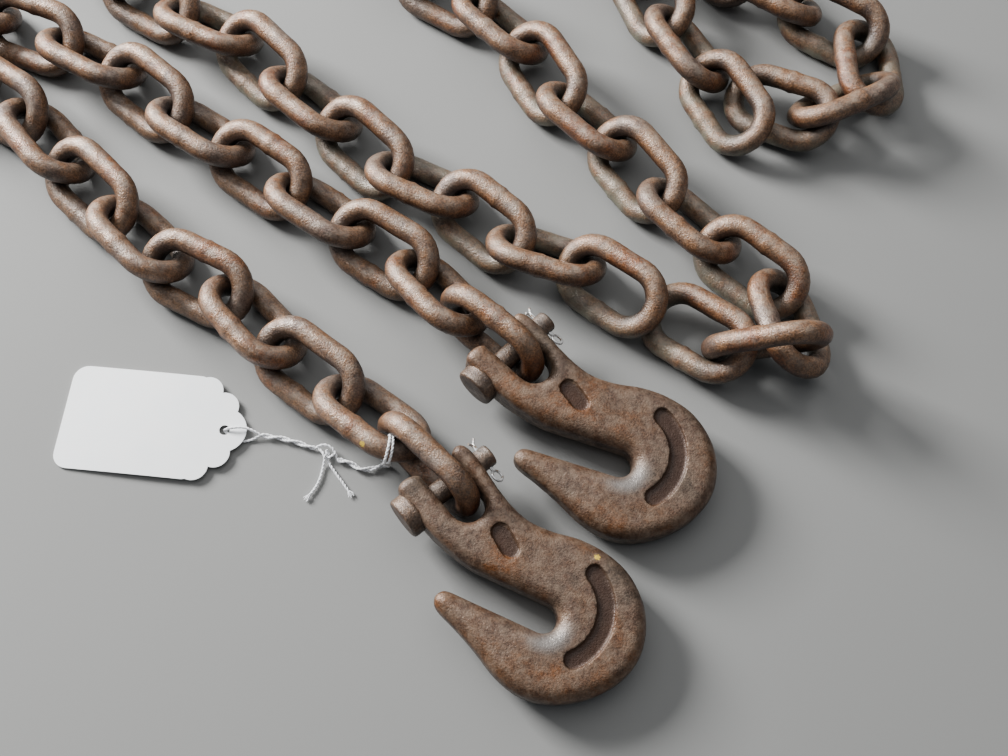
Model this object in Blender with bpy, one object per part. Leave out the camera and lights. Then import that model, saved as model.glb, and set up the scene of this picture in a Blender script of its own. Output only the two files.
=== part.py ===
"""Steel chain with a clevis grab hook on each end, lying folded to and fro on a floor.

All sizes are in metres and all angles in degrees. Going along the chain from one hook to the other
there is the near run A, a long far stretch, the run E, a far turn, the run C (laid backwards), a far
turn and the run B. Each near link is a piece of its own; the far stretches go in sixes.
"""

import math

import bmesh
import bpy
from mathutils import Matrix, Vector

# Chain: 10 mm welded links, a little stretched by use
WIRE_DIAMETER = 0.010
LINK_INSIDE_LENGTH = 0.0360
LINK_INSIDE_WIDTH = 0.0164
CONTACT_GAP = 0.0003
TURN_SLACK_SHARE = 0.8856
CROWN_STEPS = 6
NEAR_WIRE_SIDES = 8

# Far chain: links of one stretch are sunk this deep into each other, and stretches lie a little apart
FAR_WIRE_SIDES = 6
FAR_ROLL = 38
STRETCH_LINKS = 6
FUSE_DEPTH = 0.0016
STRETCH_END_PLAY = 0.0008
STRETCH_BREAK_PLAY = 0.0002

# Clevis grab hook
HOOK_THICKNESS = 0.017
HOOK_EDGE_ROUNDING = 0.0025
CLEVIS_SLOT_WIDTH = 0.015
CLEVIS_SLOT_LENGTH = 0.030
THROAT_WIDTH = 0.0122
THROAT_ANGLE = 27.0
THROAT_DEPTH = 0.0335
THROAT_END = (0.0465, -0.0046)
MARK_DEPTH = 0.0012
MARK_WIDTH = 0.0080
CRESCENT_RADIUS = 0.0228

# Clevis pin and the cotter through its end
PIN_DIAMETER = 0.0095
PIN_CLEARANCE = 0.0003
PIN_SEAT_GAP = 0.0006
PIN_FROM_SLOT_BOTTOM = 0.0192
PIN_FROM_CROWN = 0.0058
PIN_HEAD_DIAMETER = 0.018
PIN_HEAD_THICKNESS = 0.0065
PIN_HEAD_SEAT = 0.0172
PIN_POINT = 0.0215
PIN_CHAMFER = 0.0012
PIN_SIDES = 16
COTTER_FROM_POINT = 0.0036
COTTER_DIAMETER = 0.0018
COTTER_EYE_RADIUS = 0.0025
COTTER_LEG = 0.0060
COTTER_TURN = 90.0
COTTER_ROLL = 50.0

# Card tag and its string
TAG_LENGTH = 0.0800
TAG_WIDTH = 0.0470
TAG_SHOULDER = 0.0190
TAG_TIP_WIDTH = 0.0195
TAG_THICKNESS = 0.0005
TAG_HOLE_DIAMETER = 0.0045
TAG_HOLE_FROM_TIP = 0.0094
TAG_HOLE_AT = (-0.1189, 0.1711)
TAG_HEADING = -4.5
TAG_HOLE_LIFT = 0.0014
STRING_DIAMETER = 0.0010
STRING_GAP = 0.0005

# The string's way in two halves, before and after it goes round the last link of run A
STRING_TO_LINK = [
    (-0.0804, 0.1433, 0.0008), (-0.0765, 0.1520, 0.0014), (-0.0744, 0.1592, 0.0022),
    (-0.0780, 0.1632, 0.0014), (-0.0862, 0.1660, 0.0008), (-0.0972, 0.1686, 0.0008),
    (-0.1040, 0.1698, 0.0018), (-0.1095, 0.1716, 0.0032), (-0.1150, 0.1722, 0.0034),
    (-0.1182, 0.1716, 0.0026), (-0.1188, 0.1710, 0.0016), (-0.1184, 0.1703, 0.0008),
    (-0.1152, 0.1686, 0.0007), (-0.1110, 0.1673, 0.0007), (-0.1040, 0.1664, 0.0007),
    (-0.0970, 0.1656, 0.0007), (-0.0860, 0.1634, 0.0007), (-0.0780, 0.1598, 0.0007),
    (-0.0705, 0.1570, 0.0007), (-0.0645, 0.1560, 0.0008), (-0.0590, 0.1532, 0.0008),
    (-0.0535, 0.1522, 0.0010), (-0.0503, 0.1510, 0.0040), (-0.0498, 0.1500, 0.0110),
    (-0.0498, 0.1503, 0.0175)]
STRING_FROM_LINK = [
    (-0.0516, 0.1572, 0.0140), (-0.0514, 0.1567, 0.0090), (-0.0518, 0.1566, 0.0034),
    (-0.0550, 0.1560, 0.0010), (-0.0592, 0.1555, 0.0008), (-0.0645, 0.1582, 0.0008),
    (-0.0700, 0.1592, 0.0008), (-0.0728, 0.1588, 0.0015), (-0.0737, 0.1564, 0.0021),
    (-0.0720, 0.1536, 0.0012), (-0.0681, 0.1505, 0.0008), (-0.0638, 0.1455, 0.0008)]
STRING_ON_CROWN = (-62, -80)
STRING_ROUND_WIRE = (-60, 245)
STRING_LOOP_STEPS = 10
STRING_POINT_SPACING = 0.0040

# How the near runs lie: the first joint of each, then each link's heading and roll
RUN_STARTS = {
    "a": (-0.2553, 0.3377),
    "b": (-0.2169, 0.3614),
    "c": (-0.1637, 0.3810),
    "e": (0.0603, 0.4161),
}
RUN_LAYS = {
    "a": [(-33, 39), (-48, -40), (-43, 37), (-44, -37), (-26, 36), (-46, -37), (-36, 36),
          (-37, -38, 0.0170)],
    "b": [(-28, -39), (-39, 37), (-33, -38), (-35, 37), (-34, -38), (-32, 36), (-49, -38, 0.0185)],
    "c": [(-25, -36), (-45, 37), (-40, -38), (-43, 37), (-25, -36), (-41, 36), (-18, -38),
          (-38, 39), (-37, 18), (-2, 106), (102, 32),
          (141, -38), (136, 35), (127, -37), (137, 37), (120, -37), (136, 37)],
    "e": [(-66, 35), (-59, -38), (-61, 35),
          (-26, 20), (27, 131), (90, 23), (151, -41), (148, 38)],
}

# Links that have slipped or tipped: the step from the joint before to their own near joint, the
# height of that joint, and how far they tip up from it
SLIPPED_LINKS = {
    "a9": ((-0.0024, 0.0019), 0.0182, 0),
    "b8": ((-0.0014, 0.0041), 0.0182, 0),
    "c8": ((-0.0023, 0.0009), 0.0123, 8),
    "c9": ((0.0103, 0.0017), 0.0078, 11),
    "c10": ((-0.0026, 0.0024), 0.0137, 30),
    "c11": ((0.0009, -0.0031), 0.0157, -8),
    "c12": ((0.0023, -0.0021), 0.0131, 0),
    "e4": ((0.0021, 0.0226), 0.0084, 8),
    "e5": ((-0.0035, 0.0020), 0.0149, 1),
    "e6": ((-0.0008, -0.0034), 0.0123, -5),
    "e7": ((-0.0006, -0.0028), 0.0134, 2),
    "e8": ((0.0015, -0.0018), 0.0130, 1),
}

END_LINKS = {"a": (-43, 84), "b": (-39, 80)}
HOOK_HEADINGS = {"a": -49.9, "b": -43.1}

# The far stretches: the joints they run between, how many links, and the rough way round
FAR_STRETCHES = [
    (("b", 0), ("c", 0), 12,
     [(-0.250, 0.378), (-0.284, 0.394), (-0.309, 0.419), (-0.318, 0.452), (-0.306, 0.484), (-0.276, 0.500),
      (-0.243, 0.494), (-0.219, 0.468), (-0.211, 0.436), (-0.193, 0.405)]),
    (("c", -1), ("e", 0), 9,
     [(-0.050, 0.412), (-0.076, 0.436), (-0.086, 0.470), (-0.068, 0.502), (-0.032, 0.510), (0.002, 0.494),
      (0.026, 0.466), (0.044, 0.440)]),
    (("e", -1), ("a", 0), 23,
     [(0.094, 0.434), (0.082, 0.466), (0.070, 0.502), (0.044, 0.538), (0.000, 0.562), (-0.055, 0.572),
      (-0.110, 0.560), (-0.150, 0.530), (-0.190, 0.524), (-0.235, 0.538), (-0.290, 0.538), (-0.338, 0.510),
      (-0.362, 0.465), (-0.358, 0.412), (-0.330, 0.372), (-0.292, 0.350)]),
]
EASING_ROUNDS = 1500
SMOOTHING_ROUNDS = 30


def new_object(name, data, material, parent):
    obj = bpy.data.objects.new(name, data)
    bpy.context.collection.objects.link(obj)
    obj.parent = parent
    if material is not None:
        obj.data.materials.append(material)
    return obj


def new_frame(name, parent, pose):
    """An empty that holds the pieces of one assembly."""
    frame = bpy.data.objects.new(name, None)
    bpy.context.collection.objects.link(frame)
    frame.parent = parent
    frame.matrix_local = pose
    return frame


def cut_or_join(target, tool, operation):
    """Cuts the tool out of the target or joins it on, and keeps the tool out of the model."""
    tool.hide_render = True
    tool.display_type = "WIRE"
    modifier = target.modifiers.new(tool.name, "BOOLEAN")
    modifier.operation = operation
    modifier.object = tool


def surface(name, colour, roughness, metallic):
    material = bpy.data.materials.new(name)
    material.use_nodes = True
    shader = material.node_tree.nodes["Principled BSDF"]
    shader.inputs["Base Color"].default_value = (*colour, 1.0)
    shader.inputs["Roughness"].default_value = roughness
    shader.inputs["Metallic"].default_value = metallic
    return material


def smooth_through(points, steps=1, spacing=None):
    """Catmull-Rom points through the given ones, so many or about so far apart between neighbours."""
    spots = [Vector(point) for point in points]
    spots = [2 * spots[0] - spots[1], *spots, 2 * spots[-1] - spots[-2]]
    result = []
    for before, start, end, after in zip(spots, spots[1:], spots[2:], spots[3:]):
        count = steps if spacing is None else max(1, round((end - start).length / spacing))
        for step in range(count):
            t = step / count
            pull = end - before
            bend = 2 * before - 5 * start + 4 * end - after
            twist = 3 * start - before - 3 * end + after
            result.append(start + 0.5 * (pull * t + bend * t**2 + twist * t**3))
    result.append(spots[-2])
    return result


def arc(centre, radius, first, last, steps):
    """Points of a flat arc between two angles."""
    turns = [math.radians(first + (last - first) * step / steps) for step in range(steps + 1)]
    return [Vector((centre[0] + radius * math.cos(t), centre[1] + radius * math.sin(t))) for t in turns]


def prism(name, outline, bottom, top, material, parent):
    """A solid with this flat outline between two heights."""
    mesh = bpy.data.meshes.new(name)
    shape = bmesh.new()
    face = shape.faces.new([shape.verts.new((x, y, bottom)) for x, y in outline])
    grown = bmesh.ops.extrude_face_region(shape, geom=[face])
    raised = [item for item in grown["geom"] if isinstance(item, bmesh.types.BMVert)]
    bmesh.ops.translate(shape, verts=raised, vec=(0, 0, top - bottom))
    bmesh.ops.recalc_face_normals(shape, faces=shape.faces)
    shape.to_mesh(mesh)
    shape.free()
    return new_object(name, mesh, material, parent)


def turned(name, profile, material, parent):
    """A solid turned about Z from (radius, height) points that start and end on the axis."""
    mesh = bpy.data.meshes.new(name)
    shape = bmesh.new()
    loop = [shape.verts.new((radius, 0, height)) for radius, height in profile]
    edges = [shape.edges.new(pair) for pair in zip(loop, loop[1:])]
    bmesh.ops.spin(shape, geom=loop + edges, cent=(0, 0, 0), axis=(0, 0, 1), angle=math.tau,
                   steps=PIN_SIDES, use_merge=True)
    bmesh.ops.remove_doubles(shape, verts=shape.verts, dist=1e-6)
    bmesh.ops.recalc_face_normals(shape, faces=shape.faces)
    shape.to_mesh(mesh)
    shape.free()
    mesh.shade_smooth()
    mesh.set_sharp_from_angle(angle=math.radians(40))
    return new_object(name, mesh, material, parent)


def tube(name, points, diameter, material, parent):
    """A round tube with closed ends along the points."""
    curve = bpy.data.curves.new(name, "CURVE")
    curve.dimensions = "3D"
    curve.bevel_depth = diameter / 2
    curve.bevel_resolution = 2
    curve.use_fill_caps = True
    spline = curve.splines.new("POLY")
    spline.points.add(len(points) - 1)
    for spot, point in zip(spline.points, points):
        spot.co = (*point, 1.0)
    return new_object(name, curve, material, parent)


def half_width():
    """From a link's middle line to the middle of its side bars."""
    return (LINK_INSIDE_WIDTH + WIRE_DIAMETER) / 2


def link_mesh(sides):
    """One welded link, long along X and flat in XY, centred on its origin."""
    crown_centre = LINK_INSIDE_LENGTH / 2 + WIRE_DIAMETER / 2 - half_width()
    mesh = bpy.data.meshes.new("link")
    shape = bmesh.new()
    rings = []
    for end in (1, -1):
        for step in range(CROWN_STEPS + 1):
            turn = math.radians(-90 + 180 * step / CROWN_STEPS)
            outward = Vector((end * math.cos(turn), end * math.sin(turn), 0))
            centre = Vector((end * crown_centre, 0, 0)) + half_width() * outward
            ring = []
            for side in range(sides):
                round_wire = math.tau * side / sides
                offset = math.cos(round_wire) * outward + Vector((0, 0, math.sin(round_wire)))
                ring.append(shape.verts.new(centre + WIRE_DIAMETER / 2 * offset))
            rings.append(ring)
    for ring, following in zip(rings, rings[1:] + rings[:1]):
        for side in range(sides):
            beside = (side + 1) % sides
            shape.faces.new((ring[side], ring[beside], following[beside], following[side]))
    bmesh.ops.recalc_face_normals(shape, faces=shape.faces)
    shape.to_mesh(mesh)
    shape.free()
    mesh.shade_smooth()
    return mesh


def rest_height(roll):
    """How high a link's middle lies when it is rolled over and its lower bar is on the floor."""
    return WIRE_DIAMETER / 2 + half_width() * abs(math.sin(math.radians(roll)))


def direction(heading, tilt=0.0):
    turn = math.radians(heading)
    rise = math.radians(tilt)
    return Vector((math.cos(rise) * math.cos(turn), math.cos(rise) * math.sin(turn), math.sin(rise)))


def link_pose(middle, along, roll):
    """Where a link lies, rolled about its long axis."""
    across = Vector((0, 0, 1)).cross(along).normalized()
    turn = Matrix((along, across, along.cross(across))).transposed().to_4x4()
    return Matrix.Translation(middle) @ turn @ Matrix.Rotation(math.radians(roll), 4, "X")


def play(turn):
    """The room two rolled links need between them when one turns by this many degrees against the other.

    Thin wire in a wide link needs the least.
    """
    square_turn = TURN_SLACK_SHARE * WIRE_DIAMETER**2 / LINK_INSIDE_WIDTH
    return CONTACT_GAP + square_turn * abs(math.sin(math.radians(turn)))


def lay_run(letter, lay, start):
    """The poses of a run's links, and the joints between them."""
    joints = [start]
    poses = []
    slips = [f"{letter}{number}" in SLIPPED_LINKS for number in range(1, len(lay) + 2)]
    for place, (heading, roll, *height) in enumerate(lay):
        before = lay[place - 1][0] if place and not slips[place - 1] else heading
        after = lay[place + 1][0] if place + 1 < len(lay) and not slips[place + 1] else heading
        if slips[place]:
            step, near_height, tilt = SLIPPED_LINKS[f"{letter}{place + 1}"]
            near = Vector((joints[-1].x + step[0], joints[-1].y + step[1], near_height))
            play_near = CONTACT_GAP
            play_far = CONTACT_GAP
            along = direction(heading, tilt)
        else:
            near = joints[-1]
            play_near = play(heading - before)
            play_far = play(after - heading)
            far_height = rest_height(roll)
            if height:
                far_height = height[0]
            elif place + 1 < len(lay) and not slips[place + 1]:
                far_height = (far_height + rest_height(lay[place + 1][1])) / 2
            reach = LINK_INSIDE_LENGTH - (play_near + play_far) / 2
            tilt = math.degrees(math.asin((far_height - near.z) / reach))
            along = direction(heading, tilt)
        middle = near + along * (LINK_INSIDE_LENGTH - play_near) / 2
        joints.append(middle + along * (LINK_INSIDE_LENGTH - play_far) / 2)
        poses.append(link_pose(middle, along, roll))
    return poses, joints


def ease(spots, steps, smoothing):
    """Shifts the joints between the two fixed ends until each step has its length."""
    spots = list(spots)
    for turn in range(EASING_ROUNDS):
        if turn < smoothing:
            middles = [(before + after) / 2 for before, after in zip(spots, spots[2:])]
            spots[1:-1] = [spot.lerp(middle, 0.2) for spot, middle in zip(spots[1:-1], middles)]
        for place, length in enumerate(steps):
            gap = spots[place + 1] - spots[place]
            pull = gap * (1 - length / gap.length) / 2
            if place > 0:
                spots[place] = spots[place] + pull
            if place + 1 < len(steps):
                spots[place + 1] = spots[place + 1] - pull
    return spots


def heading_of(step):
    return math.degrees(math.atan2(step.y, step.x))


def lay_stretch(begin, finish, count, guide, heading_before, heading_after):
    """Joints of a far stretch on its rough way round, and the play at each of them."""
    rough = [begin.xy, *[Vector(point) for point in guide], finish.xy]
    lengths = [(after - before).length for before, after in zip(rough, rough[1:])]
    spots = []
    for place in range(count + 1):
        ahead = sum(lengths) * place / count
        leg = 0
        while leg < len(lengths) - 1 and ahead > lengths[leg]:
            ahead -= lengths[leg]
            leg += 1
        spots.append(rough[leg].lerp(rough[leg + 1], ahead / lengths[leg]))
    spots = ease(spots, [LINK_INSIDE_LENGTH - CONTACT_GAP] * count, SMOOTHING_ROUNDS)
    for more in range(3):
        ways = [heading_of(after - before) for before, after in zip(spots, spots[1:])]
        headings = [heading_before, *ways, heading_after]
        plays = []
        for place, (before, after) in enumerate(zip(headings, headings[1:])):
            extra = -FUSE_DEPTH
            if place in (0, count):
                extra = STRETCH_END_PLAY
            elif place % STRETCH_LINKS == 0:
                extra = STRETCH_BREAK_PLAY
            plays.append(play(after - before) + extra)
        steps = [LINK_INSIDE_LENGTH - (near + far) / 2 for near, far in zip(plays, plays[1:])]
        spots = ease(spots, steps, 0)
    joints = [Vector((*spot, rest_height(FAR_ROLL))) for spot in spots]
    joints[0].z = begin.z
    joints[-1].z = finish.z
    return joints, plays


def place_stretch(name, joints, plays, rolls):
    """Some links of a far stretch, joined into one solid where they bear on each other."""
    whole = None
    for place, (near, far, roll) in enumerate(zip(joints, joints[1:], rolls)):
        along = (far - near).normalized()
        middle = near + along * (LINK_INSIDE_LENGTH - plays[place]) / 2
        pose = link_pose(middle, along, roll)
        if whole is None:
            whole = new_object(name, FAR_LINK.copy(), RUSTED_LINK, HEAP)
            whole.matrix_local = pose
        else:
            more = new_object(f"{name}_link_{place + 1}", FAR_LINK.copy(), None, HEAP)
            more.matrix_local = pose
            cut_or_join(whole, more, "UNION")


def place_far_stretches(runs):
    number = 0
    for first, second, count, guide in FAR_STRETCHES:
        begin = runs[first[0]][first[1]]
        finish = runs[second[0]][second[1]]
        backwards = first[1] == 0
        into = RUN_LAYS[first[0]][first[1]][0] + (180 if backwards else 0)
        out_of = RUN_LAYS[second[0]][0][0]
        joints, plays = lay_stretch(begin, finish, count, guide, into, out_of)
        first_roll = RUN_LAYS[second[0]][0][1]
        side = 1 if first_roll < 0 else -1
        rolls = [FAR_ROLL * side * (-1) ** (count - 1 - place) for place in range(count)]
        for low in range(0, count, STRETCH_LINKS):
            number += 1
            high = low + STRETCH_LINKS
            place_stretch(f"far_chain_{number}", joints[low:high + 1], plays[low:high + 1],
                          rolls[low:high])


def hook_outline():
    """The hook seen from above, with its slot along X and the slot's round bottom at the origin."""
    slot_half = CLEVIS_SLOT_WIDTH / 2
    slot_end = -CLEVIS_SLOT_LENGTH
    back_and_bow = [
        (slot_end, slot_half), (-0.0318, 0.0105), (-0.0300, 0.0133), (-0.0250, 0.0146), (-0.0160, 0.0145),
        (-0.0060, 0.0134), (0.0030, 0.0133), (0.0120, 0.0146), (0.0215, 0.0192), (0.0310, 0.0260),
        (0.0420, 0.0311), (0.0540, 0.0330), (0.0670, 0.0296), (0.0770, 0.0217), (0.0828, 0.0115),
        (0.0834, -0.0010), (0.0796, -0.0133), (0.0725, -0.0240), (0.0630, -0.0308), (0.0520, -0.0334),
        (0.0395, -0.0336), (0.0270, -0.0345), (0.0180, -0.0364), (0.0138, -0.0355), (0.0130, -0.0320)]
    neck_and_ear = [
        (0.0070, -0.0164), (-0.0010, -0.0180), (-0.0090, -0.0190), (-0.0180, -0.0190), (-0.0260, -0.0190),
        (-0.0310, -0.0186), (-0.0334, -0.0150), (-0.0325, -0.0105), (slot_end, -slot_half)]
    throat_half = THROAT_WIDTH / 2
    throat = arc(THROAT_END, throat_half, THROAT_ANGLE - 90, THROAT_ANGLE + 90, 6)
    inward = direction(THROAT_ANGLE).xy
    lower_lip = throat[0] - THROAT_DEPTH * inward
    upper_lip = throat[-1] - THROAT_DEPTH * inward
    slot = arc((-slot_half, 0), slot_half, -90, 90, 6)
    outline = smooth_through(back_and_bow, 2) + [lower_lip] + throat + [upper_lip]
    return outline + smooth_through(neck_and_ear, 2) + slot


def hook_reach():
    """From the slot's round bottom to the flat of the bow, along the slot."""
    return max(point.x for point in hook_outline()) - HOOK_EDGE_ROUNDING


def mark_pocket(name, spine, parent):
    """A cutter for a shallow pocket of even width along a line of points."""
    half = MARK_WIDTH / 2
    left = []
    right = []
    for place, point in enumerate(spine):
        ahead = (spine[min(place + 1, len(spine) - 1)] - spine[max(place - 1, 0)]).normalized()
        side = Vector((-ahead.y, ahead.x)) * half
        left.append(point + side)
        right.append(point - side)
    rounds = []
    for end, beside in ((spine[-1], spine[-2]), (spine[0], spine[1])):
        facing = heading_of(end - beside)
        rounds.append(arc(end, half, facing - 90, facing + 90, 6)[1:-1])
    outline = right + rounds[0] + left[::-1] + rounds[1]
    return prism(name, outline, HOOK_THICKNESS - MARK_DEPTH, HOOK_THICKNESS + MARK_DEPTH, None, parent)


def pin_height(link_height):
    """The height of a pin that rests in the crown of an upright link."""
    eye = LINK_INSIDE_WIDTH / 2
    drop_limit = eye - PIN_DIAMETER / 2 - PIN_SEAT_GAP
    ahead = eye - PIN_FROM_CROWN
    return link_height - math.sqrt(drop_limit**2 - ahead**2)


def place_hook(letter, link_middle, link_heading):
    """A hook lying on its bow, with its pin resting in the end link's crown."""
    pin_ahead = LINK_INSIDE_LENGTH / 2 - PIN_FROM_CROWN
    pin_at = link_middle + direction(link_heading) * pin_ahead
    pin_at.z = pin_height(link_middle.z)
    lever = hook_reach() + PIN_FROM_SLOT_BOTTOM
    lift = math.asin(pin_at.z / math.hypot(lever, HOOK_THICKNESS / 2))
    lift -= math.atan2(HOOK_THICKNESS / 2, lever)
    turn = Matrix.Rotation(math.radians(HOOK_HEADINGS[letter]), 4, "Z") @ Matrix.Rotation(lift, 4, "Y")
    pin_in_hook = Vector((-PIN_FROM_SLOT_BOTTOM, 0, HOOK_THICKNESS / 2))
    pose = Matrix.Translation(pin_at) @ turn @ Matrix.Translation(-pin_in_hook)
    name = f"grab_hook_{letter}"
    frame = new_frame(f"{name}_frame", HEAP, pose)

    hook = prism(name, hook_outline(), 0.0, HOOK_THICKNESS, RUSTED_HOOK, frame)
    rounding = hook.modifiers.new("rounded_edges", "BEVEL")
    rounding.width = HOOK_EDGE_ROUNDING
    rounding.segments = 2
    rounding.limit_method = "ANGLE"
    rounding.angle_limit = math.radians(60)
    oval = [Vector((0.0096, 0.0022)), Vector((0.0132, 0.0016)), Vector((0.0168, 0.0010))]
    crescent = arc(THROAT_END, CRESCENT_RADIUS, 88, 3, 6)
    cut_or_join(hook, mark_pocket(f"{name}_oval", oval, frame), "DIFFERENCE")
    cut_or_join(hook, mark_pocket(f"{name}_crescent", crescent, frame), "DIFFERENCE")

    along_pin = Matrix.Translation(pin_in_hook) @ Matrix.Rotation(math.radians(-90), 4, "X")
    hole = turned(f"{name}_pin_hole", pin_hole_profile(), None, frame)
    hole.matrix_local = along_pin
    cut_or_join(hook, hole, "DIFFERENCE")
    pin = turned(f"clevis_pin_{letter}", pin_profile(), PIN_STEEL, frame)
    pin.matrix_local = along_pin

    cotter_at = Vector((-PIN_FROM_SLOT_BOTTOM, PIN_POINT - COTTER_FROM_POINT, HOOK_THICKNESS / 2))
    cotter_turn = Matrix.Rotation(math.radians(COTTER_TURN), 4, "Y")
    cotter_pose = Matrix.Translation(cotter_at) @ cotter_turn
    through_pin = rod_profile(COTTER_DIAMETER / 2 + PIN_CLEARANCE, PIN_DIAMETER)
    bore = turned(f"{name}_cotter_hole", through_pin, None, frame)
    bore.matrix_local = cotter_pose
    cut_or_join(pin, bore, "DIFFERENCE")
    cotter = tube(f"cotter_{letter}", cotter_route(), COTTER_DIAMETER, COTTER_STEEL, frame)
    cotter.matrix_local = cotter_pose @ Matrix.Rotation(math.radians(COTTER_ROLL), 4, "Z")


def rod_profile(radius, half_length):
    return [(0, half_length), (radius, half_length), (radius, -half_length), (0, -half_length)]


def pin_hole_profile():
    """The pin's hole, opening into a flat seat for the head."""
    radius = PIN_DIAMETER / 2 + PIN_CLEARANCE
    seat = PIN_HEAD_DIAMETER / 2 + PIN_CLEARANCE
    beyond = 2 * PIN_HEAD_SEAT
    return [(0, beyond), (radius, beyond), (radius, -PIN_HEAD_SEAT), (seat, -PIN_HEAD_SEAT),
            (seat, -beyond), (0, -beyond)]


def pin_profile():
    """The pin standing on its head, with its middle between the hook's ears."""
    radius = PIN_DIAMETER / 2
    head = PIN_HEAD_DIAMETER / 2
    under = -PIN_HEAD_SEAT - CONTACT_GAP
    base = under - PIN_HEAD_THICKNESS
    return [(0, PIN_POINT), (radius - PIN_CHAMFER, PIN_POINT), (radius, PIN_POINT - PIN_CHAMFER),
            (radius, under), (head, under), (head, base + PIN_CHAMFER), (head - PIN_CHAMFER, base), (0, base)]


def cotter_route():
    """An open eye beside the pin, a leg through it and a bent end beyond, with the eye towards +Z."""
    top = PIN_DIAMETER / 2 + COTTER_DIAMETER
    eye = arc((0, top + COTTER_EYE_RADIUS), COTTER_EYE_RADIUS, 215, -90, 8)
    flat = eye + [Vector((0, top - 0.001)), Vector((0, -top))]
    flat.append(Vector((COTTER_LEG / 2, -top - COTTER_LEG / 2)))
    return [Vector((point.x, 0, point.y)) for point in flat]


def place_tag():
    """The card tag, with its holed end propped up on the string under it."""
    lift = math.asin(TAG_HOLE_LIFT / (TAG_LENGTH - TAG_HOLE_FROM_TIP))
    turn = Matrix.Rotation(math.radians(TAG_HEADING), 4, "Z") @ Matrix.Rotation(-lift, 4, "Y")
    frame = new_frame("tag_frame", HEAP, Matrix.Translation((*TAG_HOLE_AT, TAG_HOLE_LIFT)) @ turn)
    tip = TAG_HOLE_FROM_TIP
    back = tip - TAG_LENGTH
    shoulder = tip - TAG_SHOULDER
    side = TAG_WIDTH / 2
    tip_side = TAG_TIP_WIDTH / 2
    scallop = (shoulder + (tip - shoulder) * 0.3, side - (side - tip_side) * 0.42)
    upper = [(tip, tip_side * 0.35), (tip - 0.0052, tip_side), scallop, (shoulder, side), (back, side)]
    lower = [(x, -y) for x, y in reversed(upper)]
    tag = prism("tag", upper + lower, 0.0, TAG_THICKNESS, CARD, frame)
    hole = turned("tag_hole", rod_profile(TAG_HOLE_DIAMETER / 2, TAG_WIDTH / 4), None, frame)
    cut_or_join(tag, hole, "DIFFERENCE")


def place_string(link):
    """The string from the tag, twice round the tag's hole and once round a link's crown."""
    crown_centre = LINK_INSIDE_LENGTH / 2 + WIRE_DIAMETER / 2 - half_width()
    radius = WIRE_DIAMETER / 2 + STRING_DIAMETER / 2 + STRING_GAP
    loop = []
    for step in range(STRING_LOOP_STEPS + 1):
        share = step / STRING_LOOP_STEPS
        outward = direction(STRING_ON_CROWN[0] + (STRING_ON_CROWN[1] - STRING_ON_CROWN[0]) * share)
        wire_turn = STRING_ROUND_WIRE[0] + (STRING_ROUND_WIRE[1] - STRING_ROUND_WIRE[0]) * share
        wire_turn = math.radians(wire_turn)
        wire = Vector((crown_centre, 0, 0)) + half_width() * outward
        offset = outward * math.cos(wire_turn) + Vector((0, 0, math.sin(wire_turn)))
        loop.append(link.matrix_basis @ (wire + radius * offset))
    route = smooth_through([*STRING_TO_LINK, *loop, *STRING_FROM_LINK], spacing=STRING_POINT_SPACING)
    tube("string", route, STRING_DIAMETER, COTTON, HEAP)


def stand_on_origin(left_out):
    """Shifts the heap so that its box, without the tag and string, stands centred on the origin."""
    bpy.context.view_layer.update()
    graph = bpy.context.evaluated_depsgraph_get()
    corners = []
    for obj in bpy.data.objects:
        if obj.type == "MESH" and not obj.hide_render and obj.name not in left_out:
            ready = obj.evaluated_get(graph)
            corners += [ready.matrix_world @ vertex.co for vertex in ready.data.vertices]
    low = [min(corner[axis] for corner in corners) for axis in range(3)]
    high = [max(corner[axis] for corner in corners) for axis in range(3)]
    HEAP.location = (-(low[0] + high[0]) / 2, -(low[1] + high[1]) / 2, -low[2])


for old in list(bpy.data.objects):
    bpy.data.objects.remove(old)

HEAP = bpy.data.objects.new("heap", None)
bpy.context.collection.objects.link(HEAP)

RUSTED_LINK = surface("rusted_link_steel", (0.27, 0.16, 0.10), 0.70, 0.35)
RUSTED_HOOK = surface("rusted_forged_steel", (0.17, 0.105, 0.075), 0.62, 0.45)
PIN_STEEL = surface("brown_pin_steel", (0.20, 0.12, 0.08), 0.60, 0.50)
COTTER_STEEL = surface("bright_wire", (0.45, 0.42, 0.38), 0.40, 0.90)
CARD = surface("white_card", (0.86, 0.88, 0.88), 0.65, 0.0)
COTTON = surface("white_cotton", (0.85, 0.86, 0.86), 0.85, 0.0)

NEAR_LINK = link_mesh(NEAR_WIRE_SIDES)
FAR_LINK = link_mesh(FAR_WIRE_SIDES)

run_joints = {}
for run, lay in RUN_LAYS.items():
    ends_in_hook = run in END_LINKS
    whole_lay = lay + [END_LINKS[run]] if ends_in_hook else lay
    first_joint = Vector((*RUN_STARTS[run], rest_height(FAR_ROLL)))
    poses, joints = lay_run(run, whole_lay, first_joint)
    run_joints[run] = joints
    for number, pose in enumerate(poses, 1):
        is_end = ends_in_hook and number == len(poses)
        name = f"end_link_{run}" if is_end else f"link_{run}{number}"
        link = new_object(name, NEAR_LINK.copy(), RUSTED_LINK, HEAP)
        link.matrix_local = pose
        if is_end:
            place_hook(run, pose.to_translation(), whole_lay[-1][0])
place_far_stretches(run_joints)
place_tag()
place_string(bpy.data.objects["link_a8"])
stand_on_origin({"tag"})
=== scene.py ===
"""Looks of a rusted steel chain in folds on a floor, with a grab hook on each end and a string tag."""
import math

import bpy
import numpy
from mathutils import Matrix, Vector


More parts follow.
